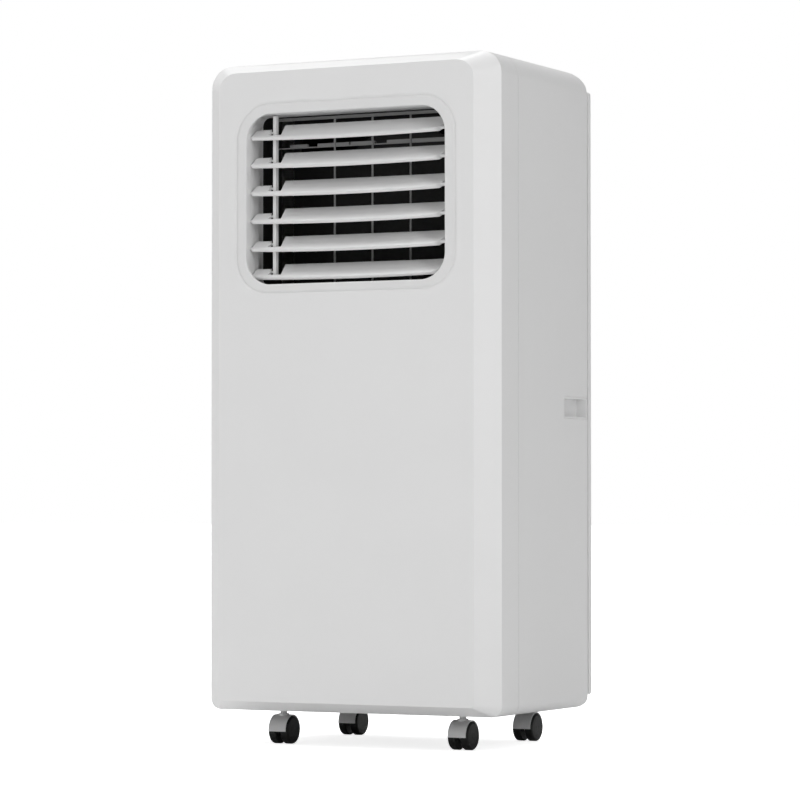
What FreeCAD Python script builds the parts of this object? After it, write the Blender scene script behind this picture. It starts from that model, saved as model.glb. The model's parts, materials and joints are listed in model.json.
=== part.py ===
import FreeCAD, Part
import math
import os
from types import SimpleNamespace

import Sketcher
from FreeCAD import Placement, Rotation, Vector

# Portable air conditioner on casters.
# Frame: +X right seen from the front, +Y backwards, +Z up, origin on the floor under the middle
# of the whole object. Depths are counted backwards from the plane of the front face.

DIMENSIONS = {
    # casing
    "body_width": 330.0,
    "body_top": 694.0,
    "ground_gap": 36.0,
    "front_plane": -125.0,
    "face_inset_side": 20.5,
    "face_inset_top": 10.0,
    "face_inset_bottom": 10.0,
    "bezel_depth": 21.0,
    "seam_depth": 60.0,
    "seam_gap": 0.6,
    "shell_depth": 226.0,
    "wall": 3.0,
    "outline_top_radius": 23.0,
    "outline_bottom_radius": 11.0,
    "face_top_radius": 19.0,
    "face_bottom_radius": 4.0,
    "rear_top_radius": 20.0,
    "rear_bottom_radius": 9.0,
    "base_half_width": 146.0,
    "base_back": 219.5,
    "base_thick": 3.0,
    "base_rim": 17.0,
    # air outlet
    "outlet_half_width": 112.5,
    "outlet_bottom": 467.85,
    "outlet_top": 640.9,
    "outlet_radius": 27.0,
    "ring_side": 11.3,
    "ring_top": 10.5,
    "ring_bottom": 8.8,
    "ring_gap": 0.08,
    "ring_bevel": 2.2,
    "ring_bevel_depth": 0.7,
    "throat_radius": 9.0,
    "throat_depth": 35.0,
    "throat_wall": 2.2,
    "duct_depth": 78.0,
    "guard_depth": 62.0,
    "guard_spacing": 43.6,
    "guard_radius": 1.1,
    "guard_rail_height": 613.2,
    # louvres
    "louvre_pitch": 28.38,
    "louvre_axis_depth": 10.5,
    "louvre_top_axis": 618.7,
    "louvre_end": 110.6,
    "louvre_right_end": 106.5,
    "louvre_corner": 11.0,
    "louvre_bow_radius": 2000.0,
    "louvre_pin_radius": 1.5,
    "louvre_pin_play": 0.06,
    "link_x": 87.3,
    "link_back": 6.0,
    "link_up": 4.4,
    "link_pin_radius": 1.2,
    "link_play": 0.3,
    "link_width": 3.6,
    "link_thick": 5.4,
    # casters
    "caster_x": 102.4,
    "caster_front_depth": 61.4,
    "caster_rear_depth": 212.6,
    "caster_trail": 1.0,
    "wheel_radius": 14.2,
    "wheel_width": 8.8,
    "wheel_inner": 2.6,
    "wheel_cap": 2.0,
    "wheel_edge_radius": 2.2,
    "hood_radius": 15.8,
    "hood_clearance": 0.5,
    "hood_half_width": 9.8,
    "hood_drop": 1.1,
    "axle_radius": 2.0,
    "stem_radius": 3.5,
    "stem_length": 16.0,
    "socket_radius": 5.2,
    "running_play": 0.05,
    # rear cover
    "cover_front": 228.5,
    "cover_back": 237.0,
    "cover_bottom": 48.5,
    "cover_top": 673.5,
    "cover_half_width": 165.0,
    "cover_radius": 3.0,
    "cover_skin": 2.6,
    "cover_plinth": 15.0,
    "filter_half_width": 118.0,
    "filter_bottom": 446.0,
    "filter_top": 642.0,
    "filter_pitch": 12.0,
    "filter_radius": 10.0,
    "grille_bottom": 78.0,
    "grille_pitch": 12.0,
    "exhaust_height": 352.0,
    "exhaust_bore": 62.0,
    "exhaust_back": 250.0,
    "drain_x": 112.0,
    "drain_height": 300.0,
    "gland_x": -118.0,
    "gland_height": 300.0,
    "handle_bottom": 333.0,
    "handle_top": 355.5,
    "handle_front": 167.7,
    "handle_reach": 13.5,
    # inside
    "shaft_radius": 4.0,
    # control panel on the top
    "panel_half_width": 104.0,
    "panel_front": 74.0,
    "panel_back": 136.0,
    "panel_surface": 692.6,
    "panel_radius": 8.0,
    "window_half_width": 32.0,
    "window_front": 84.0,
    "window_back": 106.0,
    "button_depth": 120.0,
    "button_pitch": 29.0,
    "button_half_width": 9.0,
    "button_half_depth": 5.5,
    "button_play": 0.35,
    "button_radius": 3.0,
}

GRILLE_SLOTS = 16
FILTER_SLATS = 15
LOUVRES = 6
LOUVRE_SLOPE = 40.4
BUTTONS = ("power", "mode", "fan", "timer", "up", "down")
FAN_BLADES = 20
COIL_BENDS = 6

doc = FreeCAD.newDocument("PortableAirConditioner")
sheet = doc.addObject("Spreadsheet::Sheet", "Dims")
for row, (alias, amount) in enumerate(DIMENSIONS.items(), start=1):
    sheet.set(f"A{row}", alias)
    sheet.set(f"B{row}", str(amount))
    sheet.setAlias(f"B{row}", alias)
doc.recompute()


class Size:
    """A length that carries its value and the spreadsheet expression it comes from."""

    def __init__(self, value, text):
        self.value = value
        self.text = text

    def __add__(self, other):
        return Size(self.value + number(other), f"({self.text} + {text(other)})")

    def __sub__(self, other):
        return Size(self.value - number(other), f"({self.text} - {text(other)})")

    def __rsub__(self, other):
        return Size(number(other) - self.value, f"({text(other)} - {self.text})")

    def __mul__(self, other):
        return Size(self.value * number(other), f"({self.text} * {text(other)})")

    def __truediv__(self, other):
        return Size(self.value / number(other), f"({self.text} / {text(other)})")

    def __neg__(self):
        return Size(-self.value, f"(0 - {self.text})")

    __radd__ = __add__
    __rmul__ = __mul__


def number(quantity):
    return quantity.value if isinstance(quantity, Size) else float(quantity)


def text(quantity):
    return quantity.text if isinstance(quantity, Size) else f"({float(quantity)})"


d = SimpleNamespace(**{alias: Size(sheet.get(alias), f"Dims.{alias}") for alias in DIMENSIONS})


def back(depth):
    """The Y of a depth behind the front face."""
    return d.front_plane + depth


nodes = {}


def node(name, obj):
    obj.Label = name
    nodes[name] = obj
    return obj


# ---------------------------------------------------------------- primitives

def bind(obj, prop, quantity):
    obj.setExpression(prop, text(quantity))


def move(obj, x, y, z):
    for axis, quantity in zip("xyz", (x, y, z)):
        bind(obj, f"Placement.Base.{axis}", quantity)


def box(x, y, z):
    """A block between three (low, high) pairs."""
    obj = doc.addObject("Part::Box", "Block")
    for prop, (low, high) in zip(("Length", "Width", "Height"), (x, y, z)):
        bind(obj, prop, high - low)
    move(obj, x[0], y[0], z[0])
    return obj


TURN_TO = {
    "x": Rotation(Vector(0, 1, 0), 90),
    "y": Rotation(Vector(1, 0, 0), -90),
    "z": Rotation(),
}


def rod(axis, radius, span, centre):
    """A cylinder along an axis over span; centre holds its other two coordinates in X, Y, Z order."""
    obj = doc.addObject("Part::Cylinder", "Rod")
    obj.Placement = Placement(Vector(), TURN_TO[axis])
    bind(obj, "Radius", radius)
    bind(obj, "Height", span[1] - span[0])
    where = list(centre)
    where.insert("xyz".index(axis), span[0])
    move(obj, *where)
    return obj


def fuse(*parts):
    obj = doc.addObject("Part::MultiFuse", "Union")
    obj.Shapes = list(parts)
    return obj


def cut(base, *tools):
    obj = doc.addObject("Part::Cut", "Difference")
    obj.Base = base
    obj.Tool = tools[0] if len(tools) == 1 else fuse(*tools)
    return obj


def group(*parts):
    """Separate solids that share one node."""
    obj = doc.addObject("Part::Compound", "Group")
    obj.Links = list(parts)
    return obj


def tube(axis, outer, inner, span, centre):
    return cut(rod(axis, outer, span, centre), rod(axis, inner, (span[0] - 1, span[1] + 1), centre))


def duct(x, y, z, wall):
    """A rectangular tube open along Y."""
    inside = box((x[0] + wall, x[1] - wall), (y[0] - 1, y[1] + 1), (z[0] + wall, z[1] - wall))
    return cut(box(x, y, z), inside)


# ---------------------------------------------------------------- sketches and features

def body(name):
    return node(name, doc.addObject("PartDesign::Body", "Body"))


def origin_feature(part, role):
    return next(item for item in part.Origin.OriginFeatures if item.Role == role)


def sketch(part, role, level):
    """A sketch on one of the body's origin planes, moved along X, Y or Z to level."""
    item = part.newObject("Sketcher::SketchObject", "Outline")
    item.AttachmentSupport = [(origin_feature(part, role), "")]
    item.MapMode = "FlatFace"
    bind(item, "AttachmentOffset.Base.z", -level if role == "XZ_Plane" else level)
    return item


def pin_point(item, geometry, point, x, y):
    """Fix a point of the sketch at x, y with bound dimensions."""
    for kind, quantity in (("DistanceX", x), ("DistanceY", y)):
        index = item.addConstraint(Sketcher.Constraint(kind, -1, 1, geometry, point, number(quantity)))
        item.setExpression(f"Constraints[{index}]", text(quantity))


def fix_radius(item, geometry, radius):
    index = item.addConstraint(Sketcher.Constraint("Radius", geometry, number(radius)))
    item.setExpression(f"Constraints[{index}]", text(radius))


def polygon(*points):
    def draw(item):
        corners = [Vector(number(x), number(y), 0) for x, y in points]
        first = item.GeometryCount
        for start, end in zip(corners, corners[1:] + corners[:1]):
            item.addGeometry(Part.LineSegment(start, end), False)
        for index, (x, y) in enumerate(points):
            following = first + (index + 1) % len(points)
            item.addConstraint(Sketcher.Constraint("Coincident", first + index, 2, following, 1))
            pin_point(item, first + index, 1, x, y)
    return draw


def rectangle(x, y):
    return polygon((x[0], y[0]), (x[1], y[0]), (x[1], y[1]), (x[0], y[1]))


def rounded(x, y, low_radius, high_radius):
    """A rectangle with tangent corner arcs: low_radius at the low y, high_radius at the high y."""
    corners = (
        (x[0], y[0], 1, 1, low_radius, math.pi),
        (x[1], y[0], -1, 1, low_radius, 1.5 * math.pi),
        (x[1], y[1], -1, -1, high_radius, 0.0),
        (x[0], y[1], 1, -1, high_radius, 0.5 * math.pi),
    )

    def draw(item):
        first = item.GeometryCount
        arcs = []
        for corner_x, corner_y, way_x, way_y, radius, start in corners:
            centre = (corner_x + radius * way_x, corner_y + radius * way_y)
            circle = Part.Circle(Vector(number(centre[0]), number(centre[1]), 0), Vector(0, 0, 1),
                                 number(radius))
            arc = Part.ArcOfCircle(circle, start, start + 0.5 * math.pi)
            index = item.addGeometry(arc, False)
            pin_point(item, index, 3, *centre)
            fix_radius(item, index, radius)
            arcs.append(arc)
        for index in range(4):
            following = (index + 1) % 4
            side = Part.LineSegment(arcs[index].EndPoint, arcs[following].StartPoint)
            line = item.addGeometry(side, False)
            item.addConstraint(Sketcher.Constraint("Tangent", first + index, 2, line, 1))
            item.addConstraint(Sketcher.Constraint("Tangent", line, 2, first + following, 1))
    return draw


def circle(x, y, radius):
    def draw(item):
        shape = Part.Circle(Vector(number(x), number(y), 0), Vector(0, 0, 1), number(radius))
        index = item.addGeometry(shape, False)
        pin_point(item, index, 3, x, y)
        fix_radius(item, index, radius)
    return draw


def corner_waste(y, z, radius, way):
    """What is outside a round corner at y, z: way is 1 for an upper corner and -1 for a lower one."""
    def draw(item):
        first = item.GeometryCount
        arc_start = (y - radius, z)
        arc_end = (y, z - radius * way)
        points = (arc_start, (y - radius, z + way), (y + 1, z + way), (y + 1, z - radius * way), arc_end)
        corners = [Vector(number(a), number(b), 0) for a, b in points]
        for start, end in zip(corners, corners[1:]):
            item.addGeometry(Part.LineSegment(start, end), False)
        for index in range(1, 4):
            item.addConstraint(Sketcher.Constraint("Coincident", first + index - 1, 2, first + index, 1))
            pin_point(item, first + index, 1, *points[index])
        pin_point(item, first, 1, *arc_start)
        pin_point(item, first + 3, 2, *arc_end)
        middle = Vector(number(y - radius * (1 - math.sqrt(0.5))),
                        number(z - radius * way * (1 - math.sqrt(0.5))), 0)
        arc = item.addGeometry(Part.Arc(corners[0], middle, corners[-1]), False)
        counterclockwise = way < 0
        item.addConstraint(Sketcher.Constraint("Coincident", arc, 1 if counterclockwise else 2, first, 1))
        item.addConstraint(Sketcher.Constraint("Coincident", arc, 2 if counterclockwise else 1, first + 3, 2))
        fix_radius(item, arc, radius)
    return draw


def nosed_section(low_front, low_back, high_back, high_front, radius):
    """Three straight sides closed by a round nose of the given radius."""
    def draw(item):
        points = (low_front, low_back, high_back, high_front)
        corners = [Vector(x, y, 0) for x, y in points]
        for start, end in zip(corners, corners[1:]):
            item.addGeometry(Part.LineSegment(start, end), False)
        item.addConstraint(Sketcher.Constraint("Coincident", 0, 2, 1, 1))
        item.addConstraint(Sketcher.Constraint("Coincident", 1, 2, 2, 1))
        for index, point in enumerate(points[:3]):
            pin_point(item, index, 1, *point)
        pin_point(item, 2, 2, *high_front)
        chord = corners[0] - corners[3]
        bulge = radius - math.sqrt(radius ** 2 - (chord.Length / 2) ** 2)
        outwards = Vector(chord.y, -chord.x, 0).normalize()
        tip = (corners[0] + corners[3]) / 2 + outwards * bulge
        nose = item.addGeometry(Part.Arc(corners[3], tip, corners[0]), False)
        item.addConstraint(Sketcher.Constraint("Coincident", nose, 1, 2, 2))
        item.addConstraint(Sketcher.Constraint("Coincident", nose, 2, 0, 1))
        fix_radius(item, nose, radius)
    return draw


def together(*drawings):
    def draw(item):
        for drawing in drawings:
            drawing(item)
    return draw


def extrude(part, kind, role, drawing, start, end):
    """A Pad or Pocket of the drawing from start to end, end being the higher coordinate."""
    item = sketch(part, role, start)
    drawing(item)
    before = part.Shape.Volume if part.Tip else 0.0
    feature = part.newObject(f"PartDesign::{kind}", kind)
    feature.Profile = item
    bind(feature, "Length", end - start)
    with_normal = role != "XZ_Plane"
    feature.Reversed = with_normal if kind == "Pocket" else not with_normal
    doc.recompute()
    change = part.Shape.Volume - before
    if abs(change) < 0.01 or (change > 0) == (kind == "Pocket"):
        raise RuntimeError(f"{part.Label}: {kind} changed the volume by {change:.3f}")
    return feature


def pad(part, role, drawing, start, end):
    return extrude(part, "Pad", role, drawing, start, end)


def pocket(part, role, drawing, start, end):
    return extrude(part, "Pocket", role, drawing, start, end)


def loft(part, kind, sections):
    """A ruled loft between (level, drawing) sections on the XZ plane."""
    profiles = []
    for level, drawing in sections:
        item = sketch(part, "XZ_Plane", level)
        drawing(item)
        profiles.append(item)
    feature = part.newObject(f"PartDesign::{kind}", kind)
    feature.Profile = profiles[0]
    feature.Sections = profiles[1:]
    feature.Ruled = True
    doc.recompute()
    return feature


def revolve(part, kind, role, drawing, angle=360.0, midplane=False, axis="V_Axis"):
    item = sketch(part, role, 0.0)
    drawing(item)
    feature = part.newObject(f"PartDesign::{kind}", kind)
    feature.Profile = item
    feature.ReferenceAxis = (item, [axis])
    feature.Angle = angle
    feature.Midplane = midplane
    doc.recompute()
    return feature


def repeat(part, feature, role, length, count):
    pattern = part.newObject("PartDesign::LinearPattern", "Row")
    pattern.Originals = [feature]
    pattern.Direction = (origin_feature(part, role), [""])
    bind(pattern, "Length", length)
    pattern.Occurrences = count
    part.Tip = pattern
    doc.recompute()
    return pattern


def repeat_round(part, feature, role, count):
    pattern = part.newObject("PartDesign::PolarPattern", "Ring")
    pattern.Originals = [feature]
    pattern.Axis = (origin_feature(part, role), [""])
    pattern.Angle = 360.0
    pattern.Occurrences = count
    part.Tip = pattern
    doc.recompute()
    return pattern


def edges_between(shape, low, high):
    """Names of the edges that lie wholly between two corners; None leaves a side open."""
    found = []
    for index, edge in enumerate(shape.Edges, start=1):
        points = edge.discretize(Number=5)
        above = all(limit is None or point[axis] >= number(limit) - 0.01
                    for point in points for axis, limit in enumerate(low))
        below = all(limit is None or point[axis] <= number(limit) + 0.01
                    for point in points for axis, limit in enumerate(high))
        if above and below:
            found.append(f"Edge{index}")
    return found


def fillet(part, radius, low, high, kind="Fillet", size_name="Radius"):
    """Rounds (or chamfers) the edges of the body's last feature that lie between two corners."""
    base = part.Tip
    names = edges_between(base.Shape, low, high)
    if not names:
        raise RuntimeError(f"{part.Label}: no edge to round")
    feature = part.newObject(f"PartDesign::{kind}", kind)
    feature.Base = (base, names)
    bind(feature, size_name, radius)
    doc.recompute()
    return feature


# ---------------------------------------------------------------- casing

half_width = d.body_width / 2
face_half = half_width - d.face_inset_side


def outline(shrink):
    """The casing's outline seen from the front, moved inwards by shrink."""
    return rounded((-half_width + shrink, half_width - shrink),
                   (d.ground_gap + shrink, d.body_top - shrink),
                   d.outline_bottom_radius - shrink, d.outline_top_radius - shrink)


def face_outline(shrink):
    """The flat front face's outline, moved inwards by shrink."""
    return rounded((-face_half + shrink, face_half - shrink),
                   (d.ground_gap + d.face_inset_bottom + shrink, d.body_top - d.face_inset_top - shrink),
                   d.face_bottom_radius - shrink * 0.5, d.face_top_radius - shrink)


def ring_outline(grow):
    """The outlet ring's outer outline, moved outwards by grow."""
    reach = d.outlet_half_width + d.ring_side + grow
    return rounded((-reach, reach),
                   (d.outlet_bottom - d.ring_bottom - grow, d.outlet_top + d.ring_top + grow),
                   d.outlet_radius + d.ring_bottom + grow, d.outlet_radius + d.ring_top + grow)


def opening_outline(grow):
    """The outlet opening's outline, moved outwards by grow."""
    return rounded((-d.outlet_half_width - grow, d.outlet_half_width + grow),
                   (d.outlet_bottom - grow, d.outlet_top + grow),
                   d.outlet_radius + grow, d.outlet_radius + grow)


def throat_outline(grow):
    """The air passage behind the ring, squarer at the corners than the opening in front of it."""
    return rounded((-d.outlet_half_width - grow, d.outlet_half_width + grow),
                   (d.outlet_bottom - grow, d.outlet_top + grow),
                   d.throat_radius + grow, d.throat_radius + grow)


def make_front_panel():
    part = body("front_panel")
    loft(part, "AdditiveLoft", ((back(0), face_outline(0.0)),
                                (back(d.bezel_depth), outline(0.0))))
    pad(part, "XZ_Plane", outline(0.0), back(d.bezel_depth), back(d.seam_depth - d.seam_gap))
    loft(part, "SubtractiveLoft", ((back(d.wall), face_outline(d.wall)),
                                   (back(d.bezel_depth + 1), outline(d.wall))))
    pocket(part, "XZ_Plane", outline(d.wall), back(d.bezel_depth + 1), back(d.seam_depth + 1))
    pocket(part, "XZ_Plane", ring_outline(d.ring_gap), back(-1), back(d.wall + 1))
    loft(part, "SubtractiveLoft", ((back(0), ring_outline(d.ring_gap + d.ring_bevel)),
                                   (back(d.ring_bevel_depth), ring_outline(d.ring_gap))))
    pocket(part, "XY_Plane", rectangle((-d.base_half_width, d.base_half_width),
                                       (back(d.bezel_depth), back(d.seam_depth + 1))),
           d.ground_gap - 1, d.ground_gap + d.wall + 1)
    fillet(part, 3.0, (None, back(0), d.outlet_bottom - 20), (None, back(0), d.outlet_top + 20))
    return part


def make_rear_shell():
    part = body("rear_shell")
    pad(part, "XZ_Plane", outline(0.0), back(d.seam_depth), back(d.shell_depth))
    for edge_z, radius, way in ((d.body_top, d.rear_top_radius, 1), (d.ground_gap, d.rear_bottom_radius, -1)):
        pocket(part, "YZ_Plane", corner_waste(back(d.shell_depth), edge_z, radius, way),
               -half_width - 1, half_width + 1)
    corner_start = d.shell_depth - d.rear_top_radius
    inner_radius = 8.0
    pocket(part, "XZ_Plane", outline(d.wall), back(d.seam_depth - 1), back(corner_start))
    pocket(part, "XZ_Plane", rounded((-half_width + d.wall, half_width - d.wall),
                                     (d.ground_gap + d.rear_bottom_radius + 2, d.body_top - 14),
                                     inner_radius, inner_radius),
           back(corner_start - 1), back(d.shell_depth - d.wall))
    rim = 14.0
    pocket(part, "XZ_Plane", rounded((-half_width + rim, half_width - rim),
                                     (d.cover_bottom + rim, d.cover_top - rim), inner_radius, inner_radius),
           back(d.shell_depth - d.wall - 1), back(d.shell_depth + 1))
    pocket(part, "XY_Plane", rectangle((-d.base_half_width, d.base_half_width),
                                       (back(d.seam_depth - 1), back(d.base_back))),
           d.ground_gap - 1, d.ground_gap + d.rear_bottom_radius + 4)
    gap = 0.4
    pocket(part, "XY_Plane", rounded((-d.panel_half_width - gap, d.panel_half_width + gap),
                                     (back(d.panel_front - gap), back(d.panel_back + gap)),
                                     d.panel_radius + gap, d.panel_radius + gap),
           d.body_top - d.wall - 1, d.body_top + 1)
    handle = rectangle((back(d.handle_front), back(d.shell_depth + 1)), (d.handle_bottom, d.handle_top))
    pocket(part, "YZ_Plane", handle, half_width - d.handle_reach, half_width + 1)
    pocket(part, "YZ_Plane", handle, -half_width - 1, -half_width + d.handle_reach)
    return part


def make_side_handle(name, side):
    """A grip cup let into the casing's side, open only outwards."""
    skin = 1.8
    gap = 0.15
    outer = half_width - 0.3
    deep = half_width - d.handle_reach + gap
    y = (back(d.handle_front + gap), back(d.shell_depth - gap))
    z = (d.handle_bottom + gap, d.handle_top - gap)
    x = (deep, outer) if side > 0 else (-outer, -deep)
    hollow_x = (deep + skin, outer + 1) if side > 0 else (-outer - 1, -deep - skin)
    hollow = box(hollow_x, (y[0] + skin, y[1] - skin), (z[0] + skin, z[1] - skin))
    return node(name, cut(box(x, y, z), hollow))


def make_base_pan():
    edge = d.base_half_width - 0.5
    rim = 2.0
    y = (back(d.bezel_depth + 0.5), back(d.base_back - 0.5))
    floor = (d.ground_gap + 0.2, d.ground_gap + d.base_thick)
    top = d.ground_gap + d.base_thick + d.base_rim
    plate = box((-edge, edge), y, floor)
    walls = cut(box((-edge, edge), y, (floor[1], top)),
                box((-edge + rim, edge - rim), (y[0] + rim, y[1] - rim), (floor[0], top + 1)))
    clearance = []
    for x in (-d.caster_x, d.caster_x):
        for depth in (d.caster_front_depth, d.caster_rear_depth):
            clearance.append(rod("z", d.socket_radius + 0.2, (floor[0] - 1, floor[1] + 1), (x, back(depth))))
            clearance.append(rod("z", d.socket_radius + 1.8, (floor[1] + 0.05, top + 1), (x, back(depth))))
    return node("base_pan", cut(fuse(plate, walls), *clearance))


def make_rear_cover():
    part = body("rear_cover")
    side = d.cover_half_width
    outside = (back(d.cover_front - 4), back(d.cover_back + 1))
    pad(part, "XZ_Plane", rounded((-side, side), (d.cover_bottom, d.cover_top),
                                  d.cover_radius, d.cover_radius),
        back(d.cover_front), back(d.cover_back))
    fillet(part, 2.0, (None, back(d.cover_back), None), (None, back(d.cover_back), None))
    plinth = d.cover_plinth
    plinth_radius = 7.0
    pad(part, "XZ_Plane", rounded((-side + plinth, side - plinth),
                                  (d.cover_bottom + plinth, d.cover_top - plinth),
                                  plinth_radius, plinth_radius),
        back(d.shell_depth - 2), back(d.cover_front + 1))
    hollow = plinth + d.cover_skin
    pocket(part, "XZ_Plane", rounded((-side + hollow, side - hollow),
                                     (d.cover_bottom + hollow, d.cover_top - hollow),
                                     plinth_radius - d.cover_skin, plinth_radius - d.cover_skin),
           back(d.shell_depth - 3), back(d.cover_back - d.cover_skin))
    pocket(part, "XZ_Plane", rounded((-d.filter_half_width, d.filter_half_width),
                                     (d.filter_bottom, d.filter_top), d.filter_radius, d.filter_radius),
           *outside)
    pocket(part, "XZ_Plane", circle(0, d.exhaust_height, d.exhaust_bore + 3.5), *outside)
    slot_half = 36.0
    slot_z = (d.grille_bottom, d.grille_bottom + d.grille_pitch * 0.55)
    slots = together(*(rectangle((middle - slot_half, middle + slot_half), slot_z)
                       for middle in (-80, 0, 80)))
    first = pocket(part, "XZ_Plane", slots, *outside)
    repeat(part, first, "Z_Axis", d.grille_pitch * (GRILLE_SLOTS - 1), GRILLE_SLOTS)
    holes = together(circle(d.drain_x, d.drain_height, 9.5), circle(d.gland_x, d.gland_height, 7.5))
    pocket(part, "XZ_Plane", holes, *outside)
    return part


def make_filter():
    """The pull-out filter: a slatted frame with a sheet of mesh in its front."""
    part = body("filter_frame")
    gap = 0.6
    side = d.filter_half_width - gap
    low = d.filter_bottom + gap
    high = d.filter_top - gap
    pad(part, "XZ_Plane", rounded((-side, side), (low, high), d.filter_radius - gap, d.filter_radius - gap),
        back(d.cover_front), back(d.cover_back))
    fillet(part, 1.5, (None, back(d.cover_back), None), (None, back(d.cover_back), None))
    rim = 8.0
    slat_thick = 5.5
    pocket(part, "XZ_Plane", rounded((-side + rim, side - rim), (low + rim, high - rim), 3.0, 3.0),
           back(d.cover_front - 1), back(d.cover_back - slat_thick))
    slot_half = 34.0
    slot_z = (low + rim, low + rim + d.filter_pitch * 0.62)
    slots = together(*(rectangle((middle - slot_half, middle + slot_half), slot_z)
                       for middle in (-73, 0, 73)))
    first = pocket(part, "XZ_Plane", slots, back(d.cover_front - 1), back(d.cover_back + 1))
    repeat(part, first, "Z_Axis", d.filter_pitch * (FILTER_SLATS - 1), FILTER_SLATS)
    inset = rim + 1.0
    node("filter_mesh", box((-side + inset, side - inset),
                            (back(d.cover_front + 0.6), back(d.cover_front + 1.6)),
                            (low + inset, high - inset)))


def make_exhaust_collar():
    """Round hose outlet, turned about its own axis, with a flange against the cover."""
    part = body("exhaust_collar")
    outer = d.exhaust_bore + 3
    end = d.exhaust_back - d.shell_depth
    flange_front = d.cover_back - d.shell_depth + 0.1
    flange_back = flange_front + 3
    revolve(part, "Revolution", "YZ_Plane", polygon(
        (0.0, d.exhaust_bore), (end, d.exhaust_bore), (end, outer), (flange_back, outer),
        (flange_back, outer + 8), (flange_front, outer + 8), (flange_front, outer), (0.0, outer)),
        axis="H_Axis")
    move(part, 0.0, back(d.shell_depth), d.exhaust_height)
    return part


def make_rear_fittings():
    drain = (d.drain_x, d.drain_height)
    spout_bore = 5.6
    node("drain_spout", tube("y", 9.0, spout_bore, (back(d.shell_depth - 25), back(d.cover_back + 1)), drain))
    bung = fuse(rod("y", spout_bore - 0.1, (back(d.cover_back - 8), back(d.cover_back + 0.5)), drain),
                rod("y", spout_bore - 1, (back(d.cover_back), back(d.cover_back + 2)), drain),
                rod("y", 8.5, (back(d.cover_back + 1.3), back(d.cover_back + 4.5)), drain))
    node("drain_plug", bung)
    node("cord_gland", tube("y", 7.2, 3.6, (back(d.shell_depth - 6), back(d.cover_back + 3)),
                            (d.gland_x, d.gland_height)))
    head_y = (back(d.cover_back + 0.05), back(d.cover_back + 1.6))
    cross_y = (back(d.cover_back + 0.9), back(d.cover_back + 2))
    arm = 2.2
    thin = 0.5
    screws = []
    for x in (-145.0, 145.0):
        for z in (70.0, 250.0, 430.0, 650.0):
            cross = fuse(box((x - arm, x + arm), cross_y, (z - thin, z + thin)),
                         box((x - thin, x + thin), cross_y, (z - arm, z + arm)))
            screws.append(cut(rod("y", 3.6, head_y, (x, z)), cross))
    node("rear_screws", group(*screws))


# ---------------------------------------------------------------- air outlet

def louvre_axis(index):
    return d.louvre_top_axis - d.louvre_pitch * (index - 1)


def make_outlet_frame():
    part = body("outlet_frame")
    loft(part, "AdditiveLoft", ((back(0), ring_outline(-d.ring_bevel)),
                                (back(d.ring_bevel_depth), ring_outline(0.0))))
    pad(part, "XZ_Plane", ring_outline(0.0), back(d.ring_bevel_depth), back(d.wall))
    fillet(part, 3.0, (None, back(0), None), (None, back(0), None))
    pad(part, "XZ_Plane", throat_outline(d.throat_wall), back(d.wall - 1), back(d.throat_depth))
    pocket(part, "XZ_Plane", throat_outline(0.0), back(d.wall), back(d.throat_depth + 1))
    pocket(part, "XZ_Plane", opening_outline(0.0), back(-1), back(d.wall + 1))
    fillet(part, 1.2, (-d.outlet_half_width, back(0), d.outlet_bottom),
           (d.outlet_half_width, back(0), d.outlet_top))
    reach = d.outlet_half_width + 20
    hole = pocket(part, "YZ_Plane", circle(back(d.louvre_axis_depth), louvre_axis(LOUVRES),
                                           d.louvre_pin_radius + d.louvre_pin_play), -reach, reach)
    repeat(part, hole, "Z_Axis", d.louvre_pitch * (LOUVRES - 1), LOUVRES)
    relief = d.link_width / 2 + 0.5
    pocket(part, "XY_Plane", rectangle((-d.link_x - relief, -d.link_x + relief),
                                       (back(d.louvre_axis_depth), back(d.louvre_axis_depth + 9.8))),
           d.outlet_top - 1, d.outlet_top + d.throat_wall + 1)
    return part


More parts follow.
